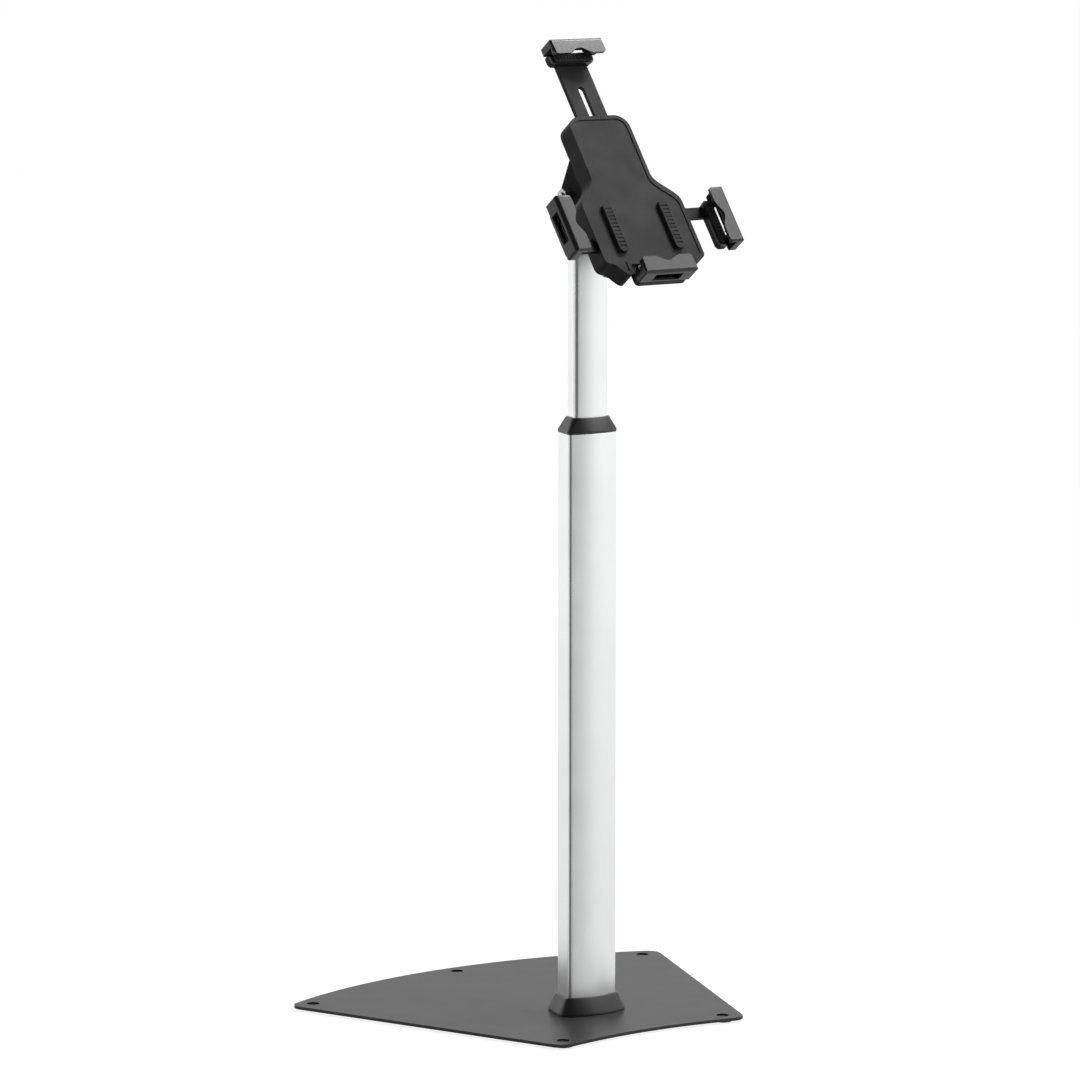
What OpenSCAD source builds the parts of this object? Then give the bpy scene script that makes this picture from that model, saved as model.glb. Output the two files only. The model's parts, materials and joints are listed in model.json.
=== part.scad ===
// Adjustable floor stand for a flat device: a fan-shaped foot plate, a telescoping column,
// and a holder that tilts, turns and grips the device with four jaws.
// Front is -Y, right is +X, the floor is z = 0.

/* [Foot plate] */
// Thickness of the steel plate
plate_t = 3; // [2:0.5:6]
// Overall width of the plate across its back corners
plate_width = 430; // [390:1:470]
// Depth of the plate from its front edge to its back edge
plate_depth = 330; // [300:1:380]
// Radius of the convex back edge
plate_back_r = 495; // [420:5:700]
// Distance from the column axis to the front edge
plate_front_y = 97; // [85:1:120]
// Radius of the concave front edge
plate_front_r = 430; // [350:10:700]
// Angle by which the sides spread towards the back
plate_side_angle = 21; // [14:0.5:25]
// Radius of the plate's corners
plate_corner_r = 13; // [6:1:20]
// Height of the rubber feet under the plate
foot_h = 2.5; // [2:0.5:6]
// Radius of a rubber foot
foot_r = 10; // [8:0.5:13]
// Distance of the outer feet from the plate's sides
foot_side_inset = 19; // [15:0.5:25]
// Distance of the feet from the front and back edges
foot_edge_inset = 15.5; // [14:0.5:22]
// Radius of a foot screw's countersunk head
foot_head_r = 4.8; // [4.4:0.1:5.4]
// Depth of a foot screw's head below the plate's top
foot_recess = 1.2; // [0.2:0.1:1.4]
// Radius of a foot screw's shank
foot_shank_r = 3; // [2:0.1:4]

/* [Column] */
// Width of the outer tube at its front
outer_w = 55; // [53:0.5:70]
// Distance from the column axis to the front edges of the outer tube's sides
outer_edge_y = 10.7; // [10.2:0.1:12]
// Depth of the outer tube at its sides
outer_edge_d = 30.4; // [28:0.2:32]
// Angle by which the sides of both tubes lean in towards the back
tube_lean = 15; // [8:1:16]
// Rise of the outer tube's convex faces
outer_bulge = 4.3; // [3:0.1:6]
// Corner radius of the outer tube
outer_corner_r = 3.5; // [3:0.1:6]
// Wall of both tubes
tube_t = 2; // [1.5:0.1:2.5]
// Length of the outer tube
outer_len = 554; // [400:1:700]
// Width of the inner tube at its front
inner_w = 38; // [34:0.5:40]
// Distance from the column axis to the front edges of the inner tube's sides
inner_edge_y = 8.3; // [8:0.1:8.8]
// Depth of the inner tube at its sides
inner_edge_d = 20.4; // [18.6:0.1:21]
// Rise of the inner tube's convex faces
inner_bulge = 1.65; // [1:0.05:2.5]
// Corner radius of the inner tube
inner_corner_r = 4.5; // [3:0.1:6]
// Length of the inner tube
inner_len = 487; // [440:1:540]
// Height of the foot cover
cover_h = 16.5; // [12:0.5:24]
// How far the foot cover spreads at the plate
cover_spread = 9; // [6:0.5:14]
// How far the foot cover stands out at its top
cover_top = 2.5; // [1.5:0.1:4]
// Height of the collar
collar_h = 15; // [10:0.5:22]
// How far the collar's top stands out from the inner tube
collar_top = 2; // [1.5:0.1:3]
// Length of the guide bush in the outer tube
bush_len = 36; // [24:1:60]
// Height of the plug in the foot of the column
plug_h = 40; // [34:1:60]

/* [Tilt and turn] */
// Height of the tilt axis above the floor
pivot_z = 782.2; // [740:0.1:860]
// Angle by which the holder leans back from upright
tilt = 36.7; // [0:0.1:90]
// Distance from the tilt axis to the back of the device
setback = 58; // [54:0.5:80]
// Radius of the tilt and turn bolts
bolt_r = 4; // [3:0.1:5]
// Thickness of the tilt bracket's sheet
bracket_t = 3; // [2:0.5:4]
// Half height of the tilt bracket's plate
bracket_y = 28; // [22:0.5:32]
// Inner radius of the tilt bracket's bends
bend_r = 2; // [1:0.5:5]
// Radius of the tilt joint's rounded ends
knuckle_r = 12; // [10:0.5:14]
// Radius of the turning disc behind the holder
disc_r = 32; // [24:1:33]

/* [Device] */
// Width of the device that the jaws are set for
device_w = 169.5; // [160:0.5:175]
// Gap between the device and each side jaw
side_clear = 2.5; // [0:0.5:4]
// Height of the device that the jaws are set for
device_h = 240; // [230:0.5:250]
// Thickness of the device
device_t = 7.5; // [6:0.1:10]
// Height of the side jaws' middle above the device's lower edge
side_jaw_rise = 49; // [42:0.5:50]

/* [Jaws] */
// Length of a jaw
jaw_len = 60; // [50:1:70]
// Distance from the device's edge to the jaw's outer face
jaw_out = 9; // [8:0.1:12]
// Length of the lip from the jaw's outer face
lip_reach = 17; // [14:0.5:20]
// Thickness of the lip
lip_t = 3; // [2:0.1:4]
// Depth of the wave in the lip's edge
wave_depth = 5.5; // [3:0.1:7]
// Length of the wave in the lip's edge
wave_len = 30; // [20:1:36]
// Radius of the lip's corners
lip_corner_r = 5; // [3:0.5:7]
// Radius of the jaw's front outer edge
jaw_edge_r = 2.5; // [1:0.1:3]
// Radius of the edges at the jaw's ends
jaw_end_r = 2; // [1:0.1:2.4]
// Height of the ribs under the lip
rib_h = 2.3; // [1:0.1:3]
// Number of ribs under the lip
rib_count = 6; // [4:1:8]
// Distance from the back of the device to the back of the jaw
jaw_depth = 5.5; // [4.8:0.1:6.5]
// Length of the window in the jaw's wall
window_len = 31; // [20:1:36]
// Height of the window in the jaw's wall
window_h = 10; // [6:0.5:11]
// Thickness of the jaw's outer wall
jaw_wall_t = 2.4; // [1.6:0.1:3]
// Thickness of the jaw's inner wall
jaw_inner_t = 1.8; // [1.2:0.1:2.4]
// Reach of the jaw's leg under the device
leg_reach = 9; // [8:0.5:11]

/* [Holder body] */
// Half width of the body across the side arms
body_x = 57; // [54:0.5:58]
// Half width of the body's neck
neck_x = 34; // [33:0.5:40]
// Height of the body's top above the holder's centre
body_top = 52; // [46:1:60]
// How far the body's lower wings reach below the device's lower edge
wing_reach = 1; // [-2:0.5:5]
// Depth of the body from its front face
body_d = 19.5; // [18:0.5:26]
// Wall of the body
body_wall = 2.5; // [2:0.1:3.5]
// Thickness of the front plate
front_t = 4.2; // [3.6:0.1:5]
// Thickness of the rubber pads behind the device
seat_t = 3; // [2:0.1:4]

/* [Arms and gearing] */
// Thickness of the sliding bars
bar_t = 4; // [3:0.1:4.5]
// Half width of the top and bottom arms' bars
top_bar_x = 17.5; // [14:0.5:18]
// Width of a side arm's bar behind its teeth
rack_w = 11.5; // [9:0.5:13]
// Inward travel of the side arms
side_in = 17; // [10:0.5:17]
// Outward travel of the side arms
side_out = 3; // [1:0.5:6]
// Downward travel of the top arm
top_in = 40; // [20:1:40]
// Upward travel of the top arm
top_out = 10; // [4:1:14]
// Module of the rack and pinion teeth
tooth_module = 1.25; // [1:0.05:1.25]
// Number of teeth on the pinion
tooth_count = 12; // [12:2:14]
// Free play between the teeth
backlash = 0.2; // [0.1:0.05:0.3]

/* [Lock] */
// Radius of the lock's barrel
barrel_r = 9.5; // [8:0.1:10]
// Radius of the lock's plug
plug_r = 6; // [4:0.1:7]
// Radius of the lock's cam
cam_r = 6; // [4:0.1:6.5]
// Eccentricity of the lock's cam
cam_throw = 1.5; // [0.5:0.1:2]

/* [Hidden] */
$fn = 48;

// Clearances of a pressed or screwed fit, a turning fit, two close faces and a sliding fit
press_gap = 0.02;
turn_gap = 0.05;
face_gap = 0.1;
slide_gap = 0.3;
// Room left at a screw's tip, and material left over a blind hole
tip_gap = 0.2;
blind_t = 0.8;
// Lengths by which a cut runs past a face, and a joined solid reaches into its neighbour
past = 1;
sink = 0.5;
// Radius and depth of a hexagon socket, as shares of its shank's radius
socket_size = 0.75;
socket_depth = 0.6;

BLACK = [0.10, 0.10, 0.11];
GREY = [0.25, 0.25, 0.26];
SILVER = [0.85, 0.86, 0.87];
STEEL = [0.62, 0.63, 0.65];
RUBBER = [0.06, 0.06, 0.06];

// Foot plate
plate_z = foot_h + plate_t;
side_dir = [sin(plate_side_angle), cos(plate_side_angle)];
plate_back_y = plate_depth - plate_front_y;
back_c = [0, plate_back_y - plate_back_r];
front_c = [0, -plate_front_y - plate_front_r];
corner_x = plate_width / 2 - plate_corner_r;
back_corner = [corner_x, back_c[1] + sqrt(pow(plate_back_r - plate_corner_r, 2) - pow(corner_x, 2))];
// Half width beside the column axis, on the line that touches the back corner
plate_side_x = corner_x + plate_corner_r / cos(plate_side_angle) - back_corner[1] * tan(plate_side_angle);
front_corner = corner_point(plate_corner_r, front_c, plate_front_r + plate_corner_r);
back_foot = corner_point(foot_side_inset, back_c, plate_back_r - foot_edge_inset);
front_foot = corner_point(foot_side_inset, front_c, plate_front_r + foot_edge_inset);
feet = [flip(front_foot), front_foot, back_foot, [0, plate_back_y - foot_edge_inset], flip(back_foot)];
foot_chamfer = 1;

// Column
cavity = -tube_t;
outer_top = plate_z + outer_len;
knuckle_gap = 4;
inner_top = pivot_z - knuckle_r - knuckle_gap;
inner_bottom = inner_top - inner_len;
column_screw_r = 3;
column_screw_x = 16;
column_rows = [-6.5, 11];
column_head_r = 6;
column_bolt_len = 27;
column_hole_spare = 4;
set_screw_z = plate_z + cover_h / 2;
set_screw_len = 13;
cover_t = 1.8;
cover_edge_h = 3;
cover_rim_h = 1;
collar_z = outer_top + collar_h;
collar_edge_h = 3;
collar_rim_h = 1;
spigot_h = 12;
bush_top = outer_top - spigot_h - face_gap;
glide_h = 12;
glide_plug_h = 15;
lock_screw_z = bush_top - bush_len / 2;
lock_screw_r = 3;
lock_screw_proud = 0.8;
shoe_r = 4.5;
shoe_t = 1.2;
inner_back_y = tube_back_y(inner_w, inner_edge_y, inner_edge_d, inner_bulge, inner_corner_r);
outer_back_y = tube_back_y(outer_w, outer_edge_y, outer_edge_d, outer_bulge, outer_corner_r);

// Tilt and turn
knuckle_x = inner_w / 2 - face_gap;
washer_t = 1;
washer_inset = 1;
ear_x = inner_w / 2 + washer_t;
yoke_plug_h = 35;
yoke_cap_h = 3;
yoke_foot_y = inner_edge_y - 1;
yoke_screw_z = inner_top - yoke_plug_h / 2;
yoke_screw_r = 2;
yoke_head_r = 4;
yoke_screw_len = 9;
bolt_head_r = bolt_r * 1.9;
bolt_head_h = bolt_r * 1.3;
bolt_tail = 2;
nut_h = bolt_r * 1.7;
disc_h = 3.5;
disc_washer_inset = 4;
spring_t = 3;
spring_r = bolt_r * 2.2;
spring_crown_r = bolt_r * 1.7;
back_w = -seat_t - body_d;
disc_w = back_w - disc_h;
bracket_w = disc_w - washer_t - face_gap;
bracket_back_w = bracket_w - bracket_t;

// Jaws: p is measured outwards from the device's edge, w forwards from the device's back
front_w = -seat_t;
split_w = front_w - front_t;
bar_w1 = split_w - slide_gap;
bar_w0 = bar_w1 - bar_t;
jaw_x = device_w / 2 + side_clear;
inner_wall_p = 0.5;
jaw_gap = 0.7;
rib_w = device_t + jaw_gap;
lip_w = rib_w + rib_h;
lip_front = lip_w + lip_t;
lip_p = jaw_out - lip_reach;
window_w = device_t - window_h;
rib_t = 2.4;
rib_tip = 0.8;
rib_inset = 1;
rib_p0 = lip_p + rib_inset;
rib_p1 = inner_wall_p + sink;
rib_end = 1.25;
rib_pitch = (jaw_len - 2 * rib_end) / (rib_count - 1);
back_edge_r = 1.5;
leg_x = jaw_len / 2 - 6;
leg_t = 3;
leg_w = leg_t - jaw_depth;
leg_corner_r = 4;
pad_side = 2;
pad_edge = 1;
pad_gap = 0.5;
jaw_screw_x = 14;
jaw_screw_p = -1.5;
jaw_screw_r = 1.75;
jaw_screw_head_r = 3.2;
jaw_screw_head_h = 2.4;
head_edge = 1;
head_side = 6;
head_step = 5;
ledge_side = 1.5;
ledge_step = 0.4;
head_x = jaw_len / 2 - head_side;
head_p0 = head_edge - leg_reach;
head_p1 = jaw_out - head_step;
ledge_x = jaw_len / 2 - ledge_side;
ledge_p1 = jaw_out - ledge_step;
head_corner_r = 4;
head_back_w = bar_w0;
head_d = -jaw_depth - head_back_w;

// Arms and gearing: v is measured up the holder from its centre
low_v = -device_h / 2;
pinion_v = low_v + side_jaw_rise;
shelf_w = bar_w0 - slide_gap;
rail_t = 2.5;
bar_end_r = 3;
pitch_r = tooth_module * tooth_count / 2;
tooth_pitch = PI * tooth_module;
pressure_angle = 20;
rack_tip = 0.97 * pitch_r * pow(sin(pressure_angle), 2);
tooth_root = 1.1 * tooth_module;
tooth_tip = 0.9 * tooth_module;
rack_x = pitch_r + tooth_root + rack_w;
rack_tail = 4;
rack_p0 = -jaw_x - side_in - rack_tail;
rack_spare = 8;
rack_first = -ceil((side_out + rack_spare) / tooth_pitch);
rack_last = floor((side_in + rack_spare) / tooth_pitch);
pin_r = 2;
pin_sink = 1;
pinion_hub_r = 4.6;
pinion_hub_h = 1.3;
top_bar_gap = 1.5;
top_bar_v = pinion_v + rack_x + slide_gap + rail_t + top_bar_gap + top_in;
stop_inset = 8;
stop_v = body_top - stop_inset;
stop_r = 3;
slot_x = stop_r + slide_gap;
bottom_bar_v = pinion_v - rack_x - rail_t - 2 * slide_gap;

// Holder body
floor_t = 2.5;
floor_w = back_w + floor_t;
notch_gap = 1;
notch_v = low_v + leg_reach + notch_gap;
notch_x = ledge_x + 1.5;
wing_v = low_v - wing_reach;
wing_r = 4.5;
hip_rise = 13;
hip_r = 6;
shoulder_v = pinion_v + 26;
neck_v = shoulder_v + 31;
neck_r = 14;
rim_w = 4;
rim_d = 0.8;
seat_pad_x = 32;
seat_pad_size = [10, 52];
seat_pad_r = 4;
cover_screw_r = 1.6;
cover_head_r = 3;
cover_head_h = 2;
cover_boss_r = 4;
arm_screw_x = 10;
arm_screw_v = notch_v + 6;
side_boss_inset = 11;
top_boss_inset = [7, 10];
bar_boss_gap = 6.5;
cover_screws_at = [for (s = [-1, 1]) each [
    [s * (body_x - side_boss_inset), pinion_v],
    [s * (neck_x - top_boss_inset[0]), body_top - top_boss_inset[1]],
    [s * (top_bar_x + bar_boss_gap), arm_screw_v]]];
rest_len = 12;
rack_rest_x = 22;
rack_rail_x = 38;
pin_boss_w = bar_w0 - pinion_hub_h - slide_gap;

// Lock
lock_x = 42;
lock_at = [-lock_x, pinion_v - rack_x - slide_gap - cam_r - cam_throw];
barrel_gap = 1.5;
barrel_w = bar_w0 - barrel_gap;
flange_r = barrel_r + 2;
flange_h = 2;
key_slot = [7, 1.6, 4];

// Front reach of the tilted holder, and the shift that puts the origin under the stand's middle
holder_front_y = (device_h / 2 + jaw_out) * sin(tilt) + (lip_front + setback) * cos(tilt);
column_y = (holder_front_y - plate_back_y) / 2;

function flip(p) = [-p[0], p[1]];
function polar(r, a) = r * [cos(a), sin(a)];
function arc(c, r, a0, a1, n) = [for (i = [0:n]) c + polar(r, a0 + (a1 - a0) * i / n)];
// Arc without its last point, where the next piece of an outline starts
function open_arc(c, r, a0, a1, n) = [for (i = [0:n - 1]) c + polar(r, a0 + (a1 - a0) * i / n)];
function angle_of(v) = atan2(v[1], v[0]);
function wave(s) = (1 - cos(180 * s)) / 2;

// Point on the right side edge, moved in, and the point from there at a given reach from an arc's centre
function side_point(inset) = [plate_side_x - inset * cos(plate_side_angle), inset * sin(plate_side_angle)];
function corner_point(inset, c, reach) =
    let (p = side_point(inset) - c, b = p * side_dir)
    side_point(inset) + (sqrt(b * b - p * p + reach * reach) - b) * side_dir;

// Fan outline of the foot plate: tangent arcs at the corners, back and front
function plate_outline() =
    let (a = plate_side_angle, b = angle_of(back_corner - back_c), f = angle_of(front_corner - front_c))
    concat(
        arc(front_corner, plate_corner_r, f - 180, -a, 8),
        open_arc(back_corner, plate_corner_r, -a, b, 8),
        open_arc(back_c, plate_back_r, b, 180 - b, 40),
        arc(flip(back_corner), plate_corner_r, 180 - b, 180 + a, 8),
        open_arc(flip(front_corner), plate_corner_r, 180 + a, 360 - f, 8),
        open_arc(front_c, plate_front_r, 180 - f, f, 16));

// Centres of a tube's right corners at the front and the back, and the radius by which both faces bend
function tube_front(w, edge_y, corner_r) = [w / 2 - corner_r, corner_r - edge_y];
function tube_back(w, edge_y, edge_d, corner_r) =
    tube_front(w, edge_y, corner_r) + (edge_d - 2 * corner_r) * [-tan(tube_lean), 1];
function bend_of(w, bulge, corner_r) = pow(w / 2 - corner_r, 2) / (2 * bulge) + bulge / 2;
function tube_back_y(w, edge_y, edge_d, bulge, corner_r) =
    let (c = tube_back(w, edge_y, edge_d, corner_r), bend = bend_of(w, bulge, corner_r))
    c[1] + corner_r + bend - sqrt(bend * bend - c[0] * c[0]);

// Tube outline with convex front and back faces and leaning sides, grown outwards by d
function tube_outline(w, edge_y, edge_d, bulge, corner_r, d) =
    let (
        r = corner_r + d,
        front = tube_front(w, edge_y, corner_r),
        back = tube_back(w, edge_y, edge_d, corner_r),
        bend = bend_of(w, bulge, corner_r),
        a = asin(front[0] / bend),
        b = asin(back[0] / bend))
    concat(
        open_arc(back, r, tube_lean, 90 - b, 5),
        open_arc([0, back[1] - bend * cos(b)], bend + r, 90 - b, 90 + b, 16),
        arc(flip(back), r, 90 + b, 180 - tube_lean, 5),
        open_arc(flip(front), r, 180 - tube_lean, 270 - a, 5),
        open_arc([0, front[1] + bend * cos(a)], bend + r, 270 - a, 270 + a, 16),
        arc(front, r, 270 + a, 360 + tube_lean, 5));
function outer_outline(d) =
    tube_outline(outer_w, outer_edge_y, outer_edge_d, outer_bulge, outer_corner_r, d);
function inner_outline(d) =
    tube_outline(inner_w, inner_edge_y, inner_edge_d, inner_bulge, inner_corner_r, d);

// Side view of the yoke's knuckle: a round end on tangents that rise from the tube's cap
function yoke_side() =
    let (foot = [yoke_foot_y, inner_top - pivot_z], a = angle_of(foot) + acos(knuckle_r / norm(foot)))
    concat(
        arc([0, pivot_z], knuckle_r, a, 180 - a, 16),
        [[-yoke_foot_y, inner_top], [yoke_foot_y, inner_top]]);

// Folded sheet of the tilt bracket: its section, and the side view that the ears are cut to
function bracket_section() =
    let (
        c = [ear_x - bend_r, bracket_back_w - bend_r],
        r = bend_r + bracket_t,
        end_w = -setback - knuckle_r)
    concat(
        [[ear_x, end_w], [ear_x + bracket_t, end_w]],
        arc(c, r, 0, 90, 6),
        arc(flip(c), r, 90, 180, 6),
        [[-ear_x - bracket_t, end_w], [-ear_x, end_w]],
        arc(flip(c), bend_r, 180, 90, 6),
        arc(c, bend_r, 90, 0, 6));
function bracket_side() =
    let (
        corner = [bracket_y, bracket_back_w + setback],
        a = angle_of(corner) - acos(knuckle_r / norm(corner)))
    concat(
        arc([0, -setback], knuckle_r, -180 - a, a, 16),
        [[bracket_y, bracket_back_w], [bracket_y, bracket_w]],
        [[-bracket_y, bracket_w], [-bracket_y, bracket_back_w]]);

// Right half of the holder body's outline, drawn in by d, from the notch up to the top
function body_half(d) =
    let (
        wing_x = notch_x + wing_r,
        hip_x = body_x - hip_r,
        hip_v = wing_v + hip_rise)
    concat(
        [[notch_x + d, notch_v + d]],
        arc([wing_x, wing_v + wing_r], wing_r - d, 180, 270, 4),
        [for (i = [1:11]) [wing_x + (hip_x - wing_x) * i / 12, wing_v + d + hip_rise * wave(i / 12)]],
        arc([hip_x, hip_v + hip_r], hip_r - d, -90, 0, 4),
        [for (i = [0:12]) [
            neck_x - d + (body_x - neck_x) * (1 - wave(i / 12)),
            shoulder_v - d + (neck_v - shoulder_v) * i / 12]],
        arc([neck_x - neck_r, body_top - neck_r], neck_r - d, 0, 90, 8));
function body_outline(d) =
    let (h = body_half(d), n = len(h))
    concat(h, [for (i = [1:n]) flip(h[n - i])]);

// Plan of a jaw: rounded lip corners and a wave in the lip's edge
function jaw_plan() =
    let (x = jaw_len / 2, r = lip_corner_r, e = back_edge_r)
    concat(
        [for (i = [0:16]) [wave_len * (i / 16 - 0.5), lip_p + wave_depth * wave(1 - abs(i / 8 - 1))]],
        arc([x - r, lip_p + r], r, -90, 0, 6),
        arc([x - e, jaw_out - e], e, 0, 90, 3),
        arc([e - x, jaw_out - e], e, 90, 180, 3),
        arc([r - x, lip_p + r], r, 180, 270, 6));

// Section of a jaw across its length: wall block with rounded outer edges, and the lip
function jaw_section() = concat(
    [[inner_wall_p, -jaw_depth]],
    arc([jaw_out - back_edge_r, back_edge_r - jaw_depth], back_edge_r, -90, 0, 4),
    arc([jaw_out - jaw_edge_r, lip_front - jaw_edge_r], jaw_edge_r, 0, 90, 6),
    [[lip_p - past, lip_front], [lip_p - past, lip_w], [inner_wall_p, lip_w]]);

// One pinion tooth with involute flanks, pointing along +X
function involute(r, base_r) = let (a = sqrt(max(0, r * r / (base_r * base_r) - 1))) a * 180 / PI - atan(a);
function flank(r, base_r, half) = half + involute(pitch_r, base_r) - involute(max(r, base_r), base_r);
function tooth_points() =
    let (
        base_r = pitch_r * cos(pressure_angle),
        half = 90 / tooth_count - backlash / 2 / pitch_r * 90 / PI,
        root_r = pitch_r - tooth_root - sink,
        tip_r = pitch_r + tooth_tip,
        radii = concat([root_r], [for (i = [0:5]) base_r + (tip_r - base_r) * i / 5]),
        right = [for (r = radii) polar(r, -flank(r, base_r, half))])
    concat(right, [for (i = [len(right) - 1:-1:0]) [right[i][0], -right[i][1]]]);

// Rack tooth with straight flanks, its tip towards +X
function rack_tooth() =
    let (
        half = (tooth_pitch - backlash) / 4,
        root = tooth_root + sink,
        tip_half = half - rack_tip * tan(pressure_angle),
        root_half = half + root * tan(pressure_angle))
    [[-root, -root_half], [rack_tip, -tip_half], [rack_tip, tip_half], [-root, root_half]];

// Rounded rectangle between two corners, and a slot with round ends along y
function round_rect(x0, y0, x1, y1, r) = concat(
    arc([x1 - r, y0 + r], r, -90, 0, 5),
    arc([x1 - r, y1 - r], r, 0, 90, 5),
    arc([x0 + r, y1 - r], r, 90, 180, 5),
    arc([x0 + r, y0 + r], r, 180, 270, 5));
function slot(r, y0, y1) = concat(arc([0, y0], r, 180, 360, 10), arc([0, y1], r, 0, 180, 10));

// Places: on the column axis, and on the holder with x right, y up and z towards the user
module at_column() translate([0, column_y, 0]) children();
module at_pivot() at_column() translate([0, 0, pivot_z]) rotate([90 - tilt, 0, 0]) children();
module at_head() at_pivot() translate([0, 0, setback]) children();
// Places of the jaws: x along the device's edge, y outwards from it
module at_top() at_head() translate([0, -low_v, 0]) children();
module at_bottom() at_head() rotate(180) translate([0, -low_v, 0]) children();
module at_left() at_head() translate([-jaw_x, pinion_v, 0]) rotate(90) children();
module at_right() at_head() translate([jaw_x, pinion_v, 0]) rotate(-90) children();

module slab(z0, z1) translate([0, 0, z0]) linear_extrude(z1 - z0) children();
module rod(r, z0, z1) translate([0, 0, z0]) cylinder(r = r, h = z1 - z0);
module box(x0, y0, z0, x1, y1, z1) translate([x0, y0, z0]) cube([x1 - x0, y1 - y0, z1 - z0]);
module along_x() rotate([0, 90, 0]) children();
module along_y() rotate([-90, 0, 0]) children();
module both_sides() for (s = [0, 1]) mirror([s, 0, 0]) children();
// Outline drawn in the y-z plane and given a length along x, and one drawn in x-z with a length along y
module side_view(length) rotate([90, 0, 90]) linear_extrude(length, center = true) children();
module section(length) rotate([90, 0, 0]) linear_extrude(length, center = true) children();

// Hexagon socket sunk from z = 0
module socket(shank_r) translate([0, 0, -socket_depth * shank_r])
    cylinder(r = socket_size * shank_r, h = socket_depth * shank_r + past, $fn = 6);
// Countersunk screw pointing down, with its head's top at z = 0, and the room for it
module countersunk(head_r, shank_r, len) difference() {
    union() {
        translate([0, 0, shank_r - head_r]) cylinder(r1 = shank_r, r2 = head_r, h = head_r - shank_r);
        rod(shank_r, -len, 0);
    }
    socket(shank_r);
}
module countersink(head_r, shank_r, len) {
    translate([0, 0, shank_r - head_r - face_gap])
        cylinder(r1 = shank_r + face_gap, r2 = head_r + 2 * face_gap, h = head_r - shank_r + 2 * face_gap);
    rod(shank_r + press_gap, -len - face_gap, past);
}
// Pan-head screw pointing up, with its head's underside at z = 0, and the room for it in a wall above
module pan_screw(head_r, head_h, shank_r, len) difference() {
    union() {
        rod(head_r, -head_h, 0);
        rod(shank_r, -sink, len);
    }
    translate([0, 0, -head_h]) mirror([0, 0, 1]) socket(shank_r);
}
module pan_hole(head_r, head_h, shank_r, len) {
    rod(head_r + face_gap, -head_h - past, 0);
    rod(shank_r, -past, len);
}

module base_plate() color(GREY) at_column() difference() {
    slab(foot_h, plate_z) polygon(plate_outline());
    at_feet() foot_hole(plate_t + past);
    at_column_bolts() countersink(column_head_r, column_screw_r, plate_t + past);
}
module at_feet() for (f = feet) translate([f[0], f[1], plate_z]) children();
// Room for a foot screw, whose head lies below the plate's top
module foot_hole(len) countersink(foot_head_r + foot_recess, foot_shank_r, len);
module foot_pads() color(RUBBER) at_column() for (f = feet) translate(f) difference() {
    union() {
        cylinder(r1 = foot_r - foot_chamfer, r2 = foot_r, h = foot_chamfer);
        rod(foot_r, foot_chamfer, foot_h);
    }
    translate([0, 0, plate_z]) foot_hole(plate_z - blind_t - face_gap);
}
module foot_screws() color(BLACK) at_column() at_feet() translate([0, 0, -foot_recess])
    countersunk(foot_head_r, foot_shank_r, plate_z - foot_recess - blind_t - tip_gap);

// Places of the bolts that come up through the plate, with z downwards from its underside
module at_column_bolts() for (x = [-1, 1], y = column_rows)
    translate([x * column_screw_x, y, foot_h]) mirror([0, 0, 1]) children();
// Places at the middle of both sides of a tube, with z outwards from the side
module at_sides(w, edge_y, edge_d, corner_r) both_sides()
    translate((tube_front(w, edge_y, corner_r) + tube_back(w, edge_y, edge_d, corner_r)) / 2)
        rotate(tube_lean) translate([corner_r, 0, 0]) along_x() children();
module at_set_screws() translate([0, 0, set_screw_z])
    at_sides(outer_w, outer_edge_y, outer_edge_d, outer_corner_r) translate([0, 0, -face_gap]) children();
module set_screw_holes() at_set_screws() rod(column_screw_r + press_gap, -set_screw_len - tip_gap, past);
module column_plug() color(STEEL) at_column() difference() {
    slab(plate_z, plate_z + plug_h) polygon(outer_outline(cavity - face_gap));
    at_column_bolts() rod(column_screw_r + press_gap, -column_bolt_len - column_hole_spare, 0);
    set_screw_holes();
}
module column_bolts() color(STEEL) at_column() at_column_bolts()
    countersunk(column_head_r, column_screw_r, column_bolt_len);
module column_set_screws() color(STEEL) at_column() at_set_screws() difference() {
    rod(column_screw_r, -set_screw_len, 0);
    socket(column_screw_r);
}

module cover_shape(inset, z0, z1) hull() {
    slab(z0, plate_z + cover_edge_h) polygon(outer_outline(cover_spread - inset));
    slab(z1 - cover_rim_h, z1) polygon(outer_outline(cover_top - inset));
}
module foot_cover() color(BLACK) at_column() difference() {
    cover_shape(0, plate_z, plate_z + cover_h);
    cover_shape(cover_t, plate_z - past, plate_z + cover_h - cover_t);
    slab(plate_z - past, plate_z + cover_h + past) polygon(outer_outline(slide_gap));
}
module outer_tube() color(SILVER) at_column() difference() {
    slab(plate_z, outer_top) polygon(outer_outline(0));
    slab(plate_z - past, outer_top + past) polygon(outer_outline(cavity));
    set_screw_holes();
    at_lock_screw() rod(lock_screw_r + press_gap, inner_back_y, outer_back_y + past);
}
module at_lock_screw() translate([0, 0, lock_screw_z]) along_y() children();
module guide_bush() color(BLACK) at_column() difference() {
    slab(bush_top - bush_len, bush_top) polygon(outer_outline(cavity - face_gap));
    slab(bush_top - bush_len - past, bush_top + past) polygon(inner_outline(slide_gap));
    at_lock_screw() rod(shoe_r + face_gap, inner_back_y - past, outer_back_y);
}
module collar() color(BLACK) at_column() difference() {
    union() {
        hull() {
            slab(outer_top, outer_top + collar_edge_h) polygon(outer_outline(slide_gap));
            slab(collar_z - collar_rim_h, collar_z) polygon(inner_outline(collar_top));
        }
        slab(outer_top - spigot_h, outer_top + past) polygon(outer_outline(cavity - face_gap));
    }
    slab(outer_top - spigot_h - past, collar_z + past) polygon(inner_outline(slide_gap));
}
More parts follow.
